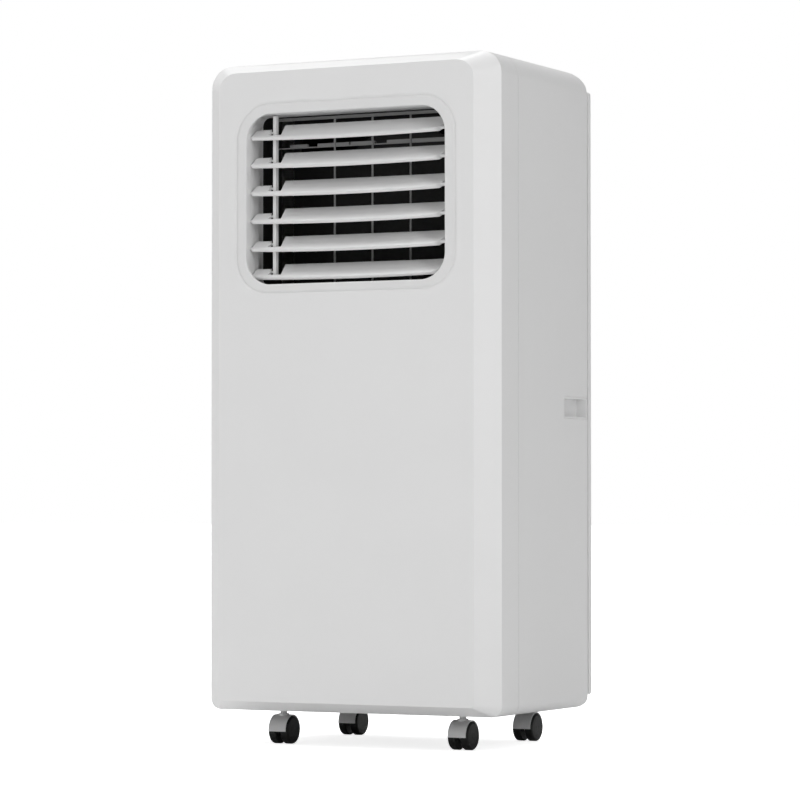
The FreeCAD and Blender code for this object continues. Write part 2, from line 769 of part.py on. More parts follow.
def make_louvre(index):
    """A blade modelled about its own pin axis: rounded nose low in front, thin edge high behind.

    The nose is bowed in the blade's own sloping plane, so its middle stands further out and lower.
    """
    part = body(f"louvre_{index}")
    left_end = d.louvre_end
    right_end = d.louvre_right_end
    slope = math.radians(LOUVRE_SLOPE)
    item = sketch(part, "YZ_Plane", 0.0)
    nosed_section((-2.9, -5.2), (20.0, 14.3), (18.6, 15.9), (-3.4, -0.5), 2.4)(item)
    bow = d.louvre_bow_radius
    half_axis = 10.0
    axis_ends = [(bow * math.cos(slope) - way * half_axis * math.sin(slope),
                  bow * math.sin(slope) + way * half_axis * math.cos(slope)) for way in (-1, 1)]
    axis = item.addGeometry(Part.LineSegment(*(Vector(number(y), number(z), 0) for y, z in axis_ends)), True)
    for point, place in enumerate(axis_ends, start=1):
        pin_point(item, axis, point, *place)
    blade = part.newObject("PartDesign::Revolution", "Blade")
    blade.Profile = item
    blade.ReferenceAxis = (item, ["Axis0"])
    blade.Angle = 7.4
    blade.Midplane = True
    doc.recompute()

    far = 140.0
    tall = 40.0
    nose = -5.0
    pocket(part, "YZ_Plane", polygon((13.4, 13.6), (15.3, 9.0), (tall, 9.0), (tall, tall), (13.4, tall)),
           -far, far)
    pocket(part, "XY_Plane", together(rectangle((right_end, far), (-tall, tall)),
                                      rectangle((-far, -left_end), (-tall, tall))), -tall, tall)
    tab_back = d.link_back + 1.6
    notch_left = -d.link_x - 5.3
    notch_front = -1.2
    notch_right = -77.4
    pocket(part, "XY_Plane", polygon((-far, 5.6), (-left_end, 5.6), (-left_end + 2, tab_back),
                                     (notch_left, tab_back), (notch_left, notch_front),
                                     (notch_right, notch_front), (notch_right - 3, 14.0),
                                     (notch_right - 3, tall), (-far, tall)), -tall, tall)
    corner = d.louvre_corner
    setback = (right_end - corner) * (right_end - corner) / (2 * bow) * math.cos(slope)
    pocket(part, "XY_Plane", corner_waste(right_end, setback + nose, corner, -1), -tall, tall)
    pin = circle(0, 0, d.louvre_pin_radius)
    pad(part, "YZ_Plane", pin, right_end - 3, d.outlet_half_width + 1.8)
    pad(part, "YZ_Plane", pin, -d.outlet_half_width - 1.8, -left_end + 3)
    pad(part, "YZ_Plane", circle(d.link_back, d.link_up, d.link_pin_radius),
        notch_left - 3, -d.link_x + d.link_width / 2 - 0.3)
    move(part, 0.0, back(d.louvre_axis_depth), louvre_axis(index))
    return part


def make_link_bar():
    y = back(d.louvre_axis_depth + d.link_back)
    bar = box((-d.link_x - d.link_width / 2, -d.link_x + d.link_width / 2),
              (y - d.link_thick / 2, y + d.link_thick / 2),
              (louvre_axis(LOUVRES) + d.link_up - 3.5, d.outlet_top - 1))
    holes = [rod("x", d.link_pin_radius + d.link_play, (-d.link_x - 10, -d.link_x + 10),
                 (y, louvre_axis(index) + d.link_up)) for index in range(1, LOUVRES + 1)]
    return node("louvre_link_bar", cut(bar, *holes))


def make_duct():
    """The air duct behind the louvres, and the finger guard that stands in it."""
    side = d.outlet_half_width + 4
    y = (back(d.throat_depth + 0.5), back(d.duct_depth))
    z = (d.outlet_bottom - 4, d.outlet_top + 4)
    skin = 2.0
    node("air_duct", duct((-side, side), y, z, skin))
    inside = skin + 0.2
    rail_height = 2.8
    rails_y = (back(d.guard_depth - 2), back(d.guard_depth + 2))
    rails = [box((-side + inside, side - inside), rails_y, level)
             for level in ((z[0] + inside, z[0] + inside + rail_height),
                           (z[1] - inside - rail_height, z[1] - inside))]
    bars = [rod("z", d.guard_radius, (z[0] + 3, z[1] - 3), (d.guard_spacing * step, back(d.guard_depth)))
            for step in (-1, 0, 1)]
    rung = box((-side + inside, side - inside), (back(d.guard_depth + 0.4), back(d.guard_depth + 4.4)),
               (d.guard_rail_height - 2, d.guard_rail_height + 2))
    gaps = [box((x - wide / 2, x + wide / 2), (back(d.guard_depth - 1), back(d.guard_depth + 6)),
                (d.guard_rail_height - 0.9, d.guard_rail_height + 3))
            for x, wide in ((-104.0, 16.0), (-70.0, 12.0), (-26.5, 2.0), (9.0, 14.0))]
    node("outlet_guard", fuse(*rails, *bars, cut(rung, *gaps)))


# ---------------------------------------------------------------- control panel

def button_x(index):
    return d.button_pitch * (index - (len(BUTTONS) - 1) / 2)


def make_control_panel():
    part = body("control_panel")
    pad(part, "XY_Plane", rounded((-d.panel_half_width, d.panel_half_width),
                                  (back(d.panel_front), back(d.panel_back)), d.panel_radius, d.panel_radius),
        d.panel_surface - 3, d.panel_surface)
    fillet(part, 0.8, (None, None, d.panel_surface), (None, None, d.panel_surface))

    def window(shrink):
        half = d.window_half_width - shrink
        return rounded((-half, half), (back(d.window_front + shrink), back(d.window_back - shrink)),
                       3.0 - shrink, 3.0 - shrink)

    pocket(part, "XY_Plane", window(0.0), d.panel_surface - 1.6, d.panel_surface + 1)
    reach = d.button_half_width + d.button_play
    half = d.button_half_depth + d.button_play
    middle = back(d.button_depth)
    for index in range(len(BUTTONS)):
        hole = rounded((button_x(index) - reach, button_x(index) + reach), (middle - half, middle + half),
                       d.button_radius + d.button_play, d.button_radius + d.button_play)
        pocket(part, "XY_Plane", hole, d.panel_surface - 4, d.panel_surface + 1)
    lens = body("display_window")
    pad(lens, "XY_Plane", window(0.2), d.panel_surface - 1.5, d.panel_surface - 0.1)


def make_button(index, name):
    """A cap with a wider flange under the panel and a plunger that presses the switch."""
    part = body(f"button_{name}")
    reach = d.button_half_width
    half = d.button_half_depth
    top = 1.2
    flange_top = -3.3
    flange_bottom = -4.4
    flange = 1.2
    pad(part, "XY_Plane", rounded((-reach, reach), (-half, half), d.button_radius, d.button_radius),
        flange_top, top)
    fillet(part, 0.6, (None, None, top), (None, None, top))
    pad(part, "XY_Plane", rectangle((-reach - flange, reach + flange), (-half - flange, half + flange)),
        flange_bottom, flange_top)
    pad(part, "XY_Plane", circle(0, 0, 1.5), -9.0, flange_bottom)
    move(part, button_x(index), back(d.button_depth), d.panel_surface)


# ---------------------------------------------------------------- casters

def make_wheel(way):
    """One wheel about its own X axis, with a closed outer face and rounded outer edge."""
    part = doc.addObject("PartDesign::Body", "Wheel")
    inner = d.wheel_inner
    outer = d.wheel_inner + d.wheel_width
    bore = d.axle_radius + d.running_play
    bevel = 1.0
    section = ((inner, bore), (inner, d.wheel_radius - bevel), (inner + bevel, d.wheel_radius),
               (outer, d.wheel_radius), (outer, 0.0), (outer - d.wheel_cap, 0.0), (outer - d.wheel_cap, bore))
    revolve(part, "Revolution", "XZ_Plane", polygon(*((x * way, z) for x, z in section)), axis="H_Axis")
    face = outer * way
    fillet(part, d.wheel_edge_radius, (face, None, None), (face, None, None))
    return part


def make_caster(name, x, depth):
    """A twin-wheel caster: hood with its stem, axle, and two wheels; it swivels about the stem."""
    stem_y = back(depth)
    axle_y = stem_y + d.caster_trail
    axle_z = d.wheel_radius
    wide = d.hood_half_width
    bay = d.wheel_radius + d.hood_clearance
    web = d.wheel_inner - 0.6
    shell = rod("x", d.hood_radius, (x - wide, x + wide), (axle_y, axle_z))
    bays = [rod("x", bay, (x + web, x + wide + 1), (axle_y, axle_z)),
            rod("x", bay, (x - wide - 1, x - web), (axle_y, axle_z))]
    below = box((x - wide - 1, x + wide + 1), (axle_y - 30, axle_y + 30), (axle_z - 30, axle_z - d.hood_drop))
    boss = rod("x", 5.0, (x - web, x + web), (axle_y, axle_z))
    crown_top = axle_z + d.hood_radius + 1
    crown = rod("z", d.stem_radius + 2, (crown_top - 7, crown_top), (x, stem_y))
    stem = rod("z", d.stem_radius, (crown_top - 1, d.ground_gap + d.stem_length), (x, stem_y))
    axle = (x - d.wheel_inner - d.wheel_width + d.wheel_cap + 0.3,
            x + d.wheel_inner + d.wheel_width - d.wheel_cap - 0.3)
    hood = cut(fuse(cut(shell, below), boss, crown, stem), *bays,
               rod("x", d.axle_radius, axle, (axle_y, axle_z)))
    node(f"caster_{name}_hood", hood)
    node(f"caster_{name}_axle", rod("x", d.axle_radius, axle, (axle_y, axle_z)))
    wheels = [make_wheel(way) for way in (-1, 1)]
    for wheel in wheels:
        move(wheel, x, axle_y, axle_z)
    node(f"caster_{name}_wheels", group(*wheels))


def make_casters():
    flange = (d.ground_gap + d.base_thick + 0.2, d.ground_gap + d.base_thick + 2)
    sockets = []
    for end, depth in (("front", d.caster_front_depth), ("rear", d.caster_rear_depth)):
        for side, x in (("left", -d.caster_x), ("right", d.caster_x)):
            make_caster(f"{end}_{side}", x, depth)
            place = (x, back(depth))
            sleeve = fuse(rod("z", d.socket_radius, (d.ground_gap, d.ground_gap + 18), place),
                          rod("z", d.socket_radius + 1.5, flange, place))
            bore = rod("z", d.stem_radius + d.running_play, (d.ground_gap - 1, d.ground_gap + 19), place)
            sockets.append(cut(sleeve, bore))
    node("caster_sockets", group(*sockets))


# ---------------------------------------------------------------- inside

def make_fan(name, x, z, depth, radius, length):
    """A centrifugal wheel on a horizontal shaft along Y, open towards the back."""
    part = body(name)
    bore = d.shaft_radius + 0.1
    plate = 2.5
    hub_radius = 10.0
    hub_length = 18.0
    ring_width = 12.0
    pad(part, "XY_Plane", together(circle(0, 0, radius), circle(0, 0, bore)), 0.0, plate)
    pad(part, "XY_Plane", together(circle(0, 0, hub_radius), circle(0, 0, bore)), 0.0, hub_length)
    blade = pad(part, "XY_Plane", polygon((radius - 16, -0.8), (radius - 1.5, 3.2), (radius - 1.5, 4.8),
                                          (radius - 16, 0.8)), 1.0, length - 1)
    repeat_round(part, blade, "Z_Axis", FAN_BLADES)
    ring = together(circle(0, 0, radius), circle(0, 0, radius - ring_width))
    pad(part, "XY_Plane", ring, length - 2, length)
    part.Placement = Placement(Vector(), TURN_TO["y"])
    move(part, x, back(depth), z)


def make_blower(prefix, fan, housing_x, housing_z, mouth):
    """Fan wheel, motor in front of it, and the housing round both, open behind and at its mouth."""
    make_fan(f"{prefix}_fan_wheel", fan.x, fan.z, fan.depth, fan.radius, fan.length)
    centre = (fan.x, fan.z)
    motor = fuse(rod("y", 28.0, (back(fan.depth - 24), back(fan.depth - 3)), centre),
                 rod("y", d.shaft_radius, (back(fan.depth - 4), back(fan.depth + 17)), centre))
    node(f"{prefix}_fan_motor", motor)
    skin = 2.0
    front_skin = 1.2
    y = (back(fan.depth - 25.5), back(fan.depth + fan.length + 6))
    case = cut(box(housing_x, y, housing_z),
               box((housing_x[0] + skin, housing_x[1] - skin), (y[0] + front_skin, y[1] - skin),
                   (housing_z[0] + skin, housing_z[1] - skin)),
               rod("y", fan.radius - 12, (y[1] - 5, y[1] + 5), centre), mouth)
    node(f"{prefix}_scroll", case)


def make_blowers():
    condenser = SimpleNamespace(x=-72.0, z=160.0, depth=125.0, radius=62.0, length=42.0)
    upward_mouth = box((-100.0, -20.0), (back(115.0), back(160.0)), (275.0, 290.0))
    make_blower("condenser", condenser, (-142.0, -5.0), (60.0, 284.0), upward_mouth)
    evaporator = SimpleNamespace(x=0.0, z=552.0, depth=135.0, radius=86.0, length=52.0)
    forward_mouth = box((-108.0, 108.0), (back(100.0), back(115.0)), (600.0, 630.0))
    make_blower("evaporator", evaporator, (-118.0, 118.0), (452.0, 656.0), forward_mouth)


def make_coil(name, x, y, z):
    """A finned block between two end plates, with its tube bends on both sides."""
    margin = 6.0
    plate = 1.5
    core = box((x[0] + margin, x[1] - margin), y, z)
    plates = [box((edge, edge + plate), (y[0] - 1, y[1] + 1), (z[0] - 1, z[1] + 1))
              for edge in (x[0] + margin - 1, x[1] - margin - plate + 1)]
    middle = (y[0] + y[1]) / 2
    step = (z[1] - z[0]) / COIL_BENDS
    bends = [rod("y", 3.5, (middle - 8, middle + 8), (edge, z[0] + step * (index + 0.5)))
             for index in range(COIL_BENDS) for edge in (x[0] + 4, x[1] - 4)]
    node(name, fuse(core, *plates, *bends))


def make_compressor():
    """The compressor on its rubber feet, the accumulator beside it and the pipes from both."""
    x = 84.0
    y = back(122.0)
    bottom = 62.0
    part = body("compressor")
    revolve(part, "Revolution", "XZ_Plane", polygon((0, 0), (30, 0), (46, 10), (50, 24), (50, 140), (44, 160),
                                                    (24, 170), (0, 172)))
    move(part, x, y, bottom)
    foot_circle = 36.0
    feet = [rod("z", 9.0, (d.ground_gap + d.base_thick + 0.1, bottom - 0.5),
                (x + foot_circle * math.cos(turn), y + foot_circle * math.sin(turn)))
            for turn in (0.5, 2.6, 4.7)]
    node("compressor_mounts", group(*feet))
    beside = (12.0, y + 30)
    node("accumulator", fuse(rod("z", 15.0, (110.0, 205.0), beside), rod("z", 4.0, (100.0, 220.0), beside)))
    pipe_top = 265.0
    discharge = fuse(rod("z", 3.2, (234.1, pipe_top + 3), (x, y)), rod("y", 3.2, (y, y + 36), (x, pipe_top)))
    suction = fuse(rod("z", 4.0, (220.1, pipe_top + 3), beside),
                   rod("x", 4.0, (beside[0], 60.0), (beside[1], pipe_top)))
    node("refrigerant_pipes", group(discharge, suction))


def make_refrigeration():
    make_compressor()
    make_coil("condenser_coil", (-138.0, 138.0), (back(183.0), back(201.0)), (66.0, 270.0))
    make_coil("evaporator_coil", (-134.0, 134.0), (back(203.0), back(221.0)), (446.0, 646.0))
    make_blowers()
    exhaust = duct((-72.0, 72.0), (back(112.0), back(d.shell_depth - 1)), (286.0, 418.0), 2.0)
    way_in = box((-70.0, -22.0), (back(116.0), back(160.0)), (280.0, 292.0))
    node("exhaust_duct", cut(exhaust, way_in))
    tray = cut(box((-140.0, 140.0), (back(98.0), back(222.0)), (422.0, 440.0)),
               box((-138.0, 138.0), (back(100.0), back(220.0)), (424.0, 441.0)))
    node("drip_tray", tray)


def make_control_board():
    board_top = 675.6
    board = box((-90.0, 90.0), (back(72.0), back(140.0)), (board_top - 1.6, board_top))
    chip_length = 22.0
    chips = [box((x, x + chip_length), (back(80.0), back(98.0)), (board_top - 0.2, board_top + 3.4))
             for x in (-70.0, -20.0, 30.0)]
    node("control_board", fuse(board, *chips))


make_front_panel()
make_rear_shell()
make_side_handle("side_handle_left", -1)
make_side_handle("side_handle_right", 1)
make_base_pan()
make_rear_cover()
make_filter()
make_exhaust_collar()
make_rear_fittings()
make_outlet_frame()
for number_from_top in range(1, LOUVRES + 1):
    make_louvre(number_from_top)
make_link_bar()
make_duct()
make_control_panel()
for place, function in enumerate(BUTTONS):
    make_button(place, function)
make_casters()
make_refrigeration()
make_control_board()
doc.recompute()

for obj in doc.Objects:
    if "Invalid" in obj.State or "Error" in obj.State:
        raise RuntimeError(f"{obj.Name} ({obj.Label}) failed: {obj.State}")
for name, obj in nodes.items():
    if obj.Shape.isNull() or not obj.Shape.isValid() or not obj.Shape.Solids:
        raise RuntimeError(f"{name} has no valid solid")

os.makedirs("parts", exist_ok=True)
for name, obj in nodes.items():
    obj.Shape.exportStep(f"parts/{name}.step")
print(len(nodes), "nodes written")
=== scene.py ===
import json
import math

import bmesh
import bpy
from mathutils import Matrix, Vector


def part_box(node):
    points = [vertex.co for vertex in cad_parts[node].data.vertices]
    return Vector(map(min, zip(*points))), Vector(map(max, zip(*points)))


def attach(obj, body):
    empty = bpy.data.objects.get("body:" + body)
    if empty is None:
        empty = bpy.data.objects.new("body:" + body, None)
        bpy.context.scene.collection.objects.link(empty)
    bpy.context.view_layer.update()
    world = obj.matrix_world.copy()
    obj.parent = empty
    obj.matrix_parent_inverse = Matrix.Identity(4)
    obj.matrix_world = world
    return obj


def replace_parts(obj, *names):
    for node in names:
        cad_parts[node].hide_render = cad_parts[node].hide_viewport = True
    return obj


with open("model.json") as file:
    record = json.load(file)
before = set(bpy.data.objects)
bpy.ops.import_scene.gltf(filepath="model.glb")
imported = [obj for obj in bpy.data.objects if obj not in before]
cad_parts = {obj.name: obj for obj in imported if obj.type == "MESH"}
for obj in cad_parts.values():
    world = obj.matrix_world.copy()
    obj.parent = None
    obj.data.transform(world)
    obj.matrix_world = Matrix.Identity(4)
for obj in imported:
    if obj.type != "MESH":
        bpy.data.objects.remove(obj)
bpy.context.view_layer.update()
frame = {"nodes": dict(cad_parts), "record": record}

# Portable air conditioner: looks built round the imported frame. Metres, +Z up, front at -Y.

NODES = frame["nodes"]
MM = 0.001


# ---------------------------------------------------------------- materials

class Shader:
    """A small helper that adds nodes to one material and links them."""

    def __init__(self, name):
        self.material = bpy.data.materials.new(name)
        self.material.use_nodes = True
        self.tree = self.material.node_tree
        self.surface = self.tree.nodes["Principled BSDF"]
        self.place = self.node("ShaderNodeTexCoord").outputs["Object"]

    def node(self, kind, **settings):
        made = self.tree.nodes.new(kind)
        for key, value in settings.items():
            setattr(made, key, value)
        return made

    def link(self, source, target):
        self.tree.links.new(source, target)

    def noise(self, scale, detail=3.0, stretch=None):
        place = self.place
        if stretch:
            mapping = self.node("ShaderNodeMapping")
            mapping.inputs["Scale"].default_value = stretch
            self.link(place, mapping.inputs["Vector"])
            place = mapping.outputs["Vector"]
        made = self.node("ShaderNodeTexNoise")
        made.inputs["Scale"].default_value = scale
        made.inputs["Detail"].default_value = detail
        self.link(place, made.inputs["Vector"])
        return made.outputs["Fac"]

    def spread(self, source, low, high, start=0.3, end=0.7):
        made = self.node("ShaderNodeMapRange")
        made.inputs["From Min"].default_value = start
        made.inputs["From Max"].default_value = end
        made.inputs["To Min"].default_value = low
        made.inputs["To Max"].default_value = high
        self.link(source, made.inputs["Value"])
        return made.outputs["Result"]

    def tint(self, source, dark, light):
        ramp = self.node("ShaderNodeValToRGB")
        ramp.color_ramp.elements[0].position = 0.3
        ramp.color_ramp.elements[1].position = 0.7
        ramp.color_ramp.elements[0].color = (*dark, 1.0)
        ramp.color_ramp.elements[1].color = (*light, 1.0)
        self.link(source, ramp.inputs["Fac"])
        self.link(ramp.outputs["Color"], self.surface.inputs["Base Color"])
        return ramp

    def bump(self, *layers):
        """Each layer is (height output, strength, distance in metres)."""
        normal = None
        for height, strength, distance in layers:
            made = self.node("ShaderNodeBump")
            made.inputs["Strength"].default_value = strength
            made.inputs["Distance"].default_value = distance
            self.link(height, made.inputs["Height"])
            if normal:
                self.link(normal, made.inputs["Normal"])
            normal = made.outputs["Normal"]
        self.link(normal, self.surface.inputs["Normal"])

    def set(self, **values):
        for key, value in values.items():
            self.surface.inputs[key.replace("_", " ")].default_value = value


def plastic(name, grey, rough, grain=0.06, spread=0.012, tone=(1.0, 1.0, 1.0), coat=0.0):
    """Moulded plastic: cloudy colour, uneven gloss, a fine moulded grain and slow sink waves."""
    shader = Shader(name)
    cloud = shader.noise(9.0, 4.0)
    dark = [max(grey - spread, 0.0) * channel for channel in tone]
    light = [(grey + spread) * channel for channel in tone]
    shader.tint(cloud, dark, light)
    speckle = shader.noise(420.0, 2.0)
    shader.link(shader.spread(speckle, rough - 0.05, rough + 0.05), shader.surface.inputs["Roughness"])
    fine = shader.noise(2600.0, 2.0)
    slow = shader.noise(14.0, 1.0)
    shader.bump((slow, 0.06, 0.002), (fine, grain, 0.00012))
    shader.set(IOR=1.47, Coat_Weight=coat, Coat_Roughness=0.12)
    return shader.material


def metal(name, colour, rough, stretch):
    """Bare metal with drawn lines along the direction in which stretch is small."""
    shader = Shader(name)
    lines = shader.noise(300.0, 3.0, stretch)
    shader.tint(lines, [channel * 0.82 for channel in colour], colour)
    shader.link(shader.spread(lines, rough - 0.08, rough + 0.1), shader.surface.inputs["Roughness"])
    shader.bump((lines, 0.15, 0.0001))
    shader.set(Metallic=1.0)
    return shader.material


def woven(name, grey):
    """Nylon thread: round sheen with a fine twist."""
    shader = Shader(name)
    twist = shader.noise(1800.0, 2.0)
    shader.tint(twist, [grey * 0.7] * 3, [grey * 1.3] * 3)
    shader.bump((twist, 0.3, 0.0001))
    shader.set(Roughness=0.5, Sheen_Weight=0.3)
    return shader.material


def glass_black(name):
    """Smoked gloss window with faint wipe marks."""
    shader = Shader(name)
    wipe = shader.noise(40.0, 4.0, (1.0, 6.0, 1.0))
    shader.tint(wipe, (0.010, 0.011, 0.013), (0.016, 0.017, 0.020))
    shader.link(shader.spread(wipe, 0.05, 0.13), shader.surface.inputs["Roughness"])
    shader.set(Coat_Weight=0.6, Coat_Roughness=0.04)
    return shader.material


def board_green(name):
    """Circuit board: green laminate with a fine weave and darker tracks."""
    shader = Shader(name)
    tracks = shader.node("ShaderNodeTexWave", wave_type="BANDS", bands_direction="X")
    tracks.inputs["Scale"].default_value = 180.0
    tracks.inputs["Distortion"].default_value = 4.0
    shader.link(shader.place, tracks.inputs["Vector"])
    shader.tint(tracks.outputs["Fac"], (0.01, 0.09, 0.03), (0.03, 0.20, 0.07))
    shader.bump((tracks.outputs["Fac"], 0.2, 0.0001))
    shader.set(Roughness=0.4)
    return shader.material


SHELL = plastic("shell_white", 0.80, 0.36, grain=0.05, spread=0.006)
FINISH = {
    "shell_plastic": SHELL,
    "louvre_plastic": plastic("louvre_white", 0.76, 0.40, grain=0.05, spread=0.008),
    # Duct interior: black plastic, darkened further than real black plastic to paint in the deep shade inside
    # the outlet throat.
    "dark_plastic": plastic("duct_black_with_painted_shade", 0.005, 0.70, grain=0.10, spread=0.002),
    "guard_plastic": plastic("guard_grey", 0.34, 0.5, grain=0.08),
    "panel_plastic": plastic("panel_white", 0.70, 0.22, grain=0.03, spread=0.006, coat=0.4),
    "button_plastic": plastic("button_white", 0.82, 0.30, grain=0.04, spread=0.006),
    "display_lens": glass_black("smoked_window"),
    "filter_cloth": woven("net_nylon", 0.08),
    "soft_rubber": plastic("rubber_black", 0.03, 0.75, grain=0.2, spread=0.006),
    "hood_plastic": plastic("hood_grey", 0.75, 0.38, grain=0.06),
    "wheel_plastic": plastic("wheel_black", 0.003, 0.45, grain=0.06, spread=0.001),
    "steel": metal("zinc_steel", (0.62, 0.62, 0.60), 0.32, (0.1, 1.0, 1.0)),
    "compressor_paint": plastic("compressor_black", 0.015, 0.30, grain=0.12, spread=0.005, coat=0.3),
    "fin_aluminium": metal("fin_aluminium", (0.78, 0.79, 0.80), 0.35, (1.0, 1.0, 0.05)),
    "copper": metal("copper_tube", (0.72, 0.38, 0.24), 0.30, (0.1, 0.1, 1.0)),
    "fan_plastic": plastic("fan_black", 0.02, 0.5, grain=0.1, spread=0.004),
    "motor_steel": metal("motor_steel", (0.45, 0.46, 0.47), 0.4, (1.0, 0.1, 1.0)),
    "board": board_green("circuit_board"),
}
SLOT_OF = {item["node"]: item["material_slot"] for item in frame["record"]["subparts"]}


# ---------------------------------------------------------------- carried-over CAD nodes

def dress(name, bevel):
    """Welds the node's split edges, rounds its sharp ones a little and gives it its material."""
    item = NODES[name]
    item.data.materials.clear()
    item.data.materials.append(FINISH[SLOT_OF[name]])
    for face in item.data.polygons:
        face.use_smooth = True
        face.material_index = 0
    weld = item.modifiers.new("weld", "WELD")
    weld.merge_threshold = 0.00002
    if bevel:
        round_off = item.modifiers.new("edge", "BEVEL")
        round_off.width = bevel * MM
        round_off.segments = 2
        round_off.limit_method = "ANGLE"
        round_off.angle_limit = math.radians(30)
        round_off.harden_normals = True
    weighted = item.modifiers.new("normals", "WEIGHTED_NORMAL")
    weighted.keep_sharp = True


BEVELS = {"front_panel": 0.7, "rear_shell": 0.4, "rear_cover": 0.3, "outlet_frame": 0.3}
for node_name in NODES:
    dress(node_name, BEVELS.get(node_name, 0.25))


# ---------------------------------------------------------------- mesh helpers

def piece(name, mesh, body, slot, material=None):
    """Makes an object of the bmesh, gives it a finish and lets it ride on a body."""
    bmesh.ops.recalc_face_normals(mesh, faces=mesh.faces)
    data = bpy.data.meshes.new(name)
    mesh.to_mesh(data)
    mesh.free()
    made = bpy.data.objects.new(name, data)
    bpy.context.scene.collection.objects.link(made)
    data.materials.append(material or FINISH[slot])
    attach(made, body)
    return made


def soften(item, width, segments=2):
    """Small rounded edges and smooth shading."""
    for face in item.data.polygons:
        face.use_smooth = True
    bevel = item.modifiers.new("edge", "BEVEL")
    bevel.width = width * MM
    bevel.segments = segments
    bevel.limit_method = "ANGLE"
    bevel.angle_limit = math.radians(30)
    bevel.harden_normals = True
    return item


def add_prism(mesh, outline, low, high, place=None):
    """A closed prism of an outline in X and Y between two heights; place maps each corner."""
    rings = []
    for height in (low, high):
        corners = [Vector((x, y, height)) for x, y in outline]
        rings.append([mesh.verts.new(place(corner) if place else corner) for corner in corners])
    mesh.faces.new(rings[0][::-1])
    mesh.faces.new(rings[1])
    for index, start in enumerate(rings[0]):
        following = (index + 1) % len(outline)
        mesh.faces.new((start, rings[0][following], rings[1][following], rings[1][index]))


def add_block(mesh, low, high, place=None):
    outline = ((low[0], low[1]), (high[0], low[1]), (high[0], high[1]), (low[0], high[1]))
    add_prism(mesh, outline, low[2], high[2], place)


def add_tube(mesh, points, radius, sides=8, closed_ends=True):
    """A round tube through the points, with flat ends."""
    rings = []
    side = None
    for index, point in enumerate(points):
        ahead = points[min(index + 1, len(points) - 1)] - points[max(index - 1, 0)]
        along = ahead.normalized()
        if side is None:
            side = along.orthogonal().normalized()
        side = (side - along * side.dot(along)).normalized()
        other = along.cross(side)
        turns = [2 * math.pi * step / sides for step in range(sides)]
        rings.append([mesh.verts.new(point + (side * math.cos(turn) + other * math.sin(turn)) * radius)
                      for turn in turns])
    for first, second in zip(rings, rings[1:]):
        for index in range(sides):
            following = (index + 1) % sides
            mesh.faces.new((first[index], first[following], second[following], second[index]))
    if closed_ends:
        mesh.faces.new(rings[0][::-1])
        mesh.faces.new(rings[-1])


def add_lathe(mesh, profile, centre, axis, sides=48):
    """Turns a closed profile of (along, radius) pairs about an axis through centre."""
    along = Vector(axis)
    first = along.orthogonal().normalized()
    second = along.cross(first)
    rings = []
    for distance, radius in profile:
        middle = centre + along * distance
        turns = [2 * math.pi * step / sides for step in range(sides)]
        rings.append([mesh.verts.new(middle + (first * math.cos(turn) + second * math.sin(turn)) * radius)
                      for turn in turns])
    for index, ring in enumerate(rings):
        following_ring = rings[(index + 1) % len(rings)]
        for step in range(sides):
            following = (step + 1) % sides
            mesh.faces.new((ring[step], ring[following], following_ring[following], following_ring[step]))


def arc_band(inner, outer, start, end, steps=14):
    """The outline of a band between two radii, from one angle to another in degrees."""
    angles = [math.radians(start + (end - start) * step / steps) for step in range(steps + 1)]
    return ([(outer * math.cos(turn), outer * math.sin(turn)) for turn in angles]
            + [(inner * math.cos(turn), inner * math.sin(turn)) for turn in reversed(angles)])


def bar(length_from, length_to, width, angle=0.0):
    """The outline of a bar lying along an angle in degrees."""
    turn = math.radians(angle)
    half = width / 2
    corners = ((length_from, -half), (length_to, -half), (length_to, half), (length_from, half))
    return [(x * math.cos(turn) - y * math.sin(turn), x * math.sin(turn) + y * math.cos(turn))
            for x, y in corners]


# ---------------------------------------------------------------- control panel

ICONS = {
    "power": [arc_band(1.9, 2.5, 125, 415), bar(0.7, 3.0, 0.6, 90)],
    "mode": [bar(0.6, 2.8, 0.5, angle) for angle in range(0, 360, 60)],
    "fan": [arc_band(0.8, 2.7, start, start + 62) for start in (20, 140, 260)],
    "timer": [arc_band(2.2, 2.7, start, start + 80) for start in (5, 95, 185, 275)]
             + [bar(0.3, 1.8, 0.5, 90)],
    "up": [[(-2.4, -1.4), (2.4, -1.4), (0.0, 2.0)]],
    "down": [[(2.4, 1.4), (-2.4, 1.4), (0.0, -2.0)]],
}


def make_icons():
    ink = plastic("icon_grey", 0.16, 0.45, grain=0.05, spread=0.01)
    for name, outlines in ICONS.items():
        low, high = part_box(f"button_{name}")
        centre = (low + high) / 2
        mesh = bmesh.new()
        for outline in outlines:
            add_prism(mesh, [(centre.x + x * MM, centre.y + y * MM) for x, y in outline],
                      high.z - 0.05 * MM, high.z + 0.08 * MM)
        piece(f"icon_{name}", mesh, f"button_{name}", "button_plastic", ink)


SEGMENTS = {"2": "abged", "4": "fgbc"}


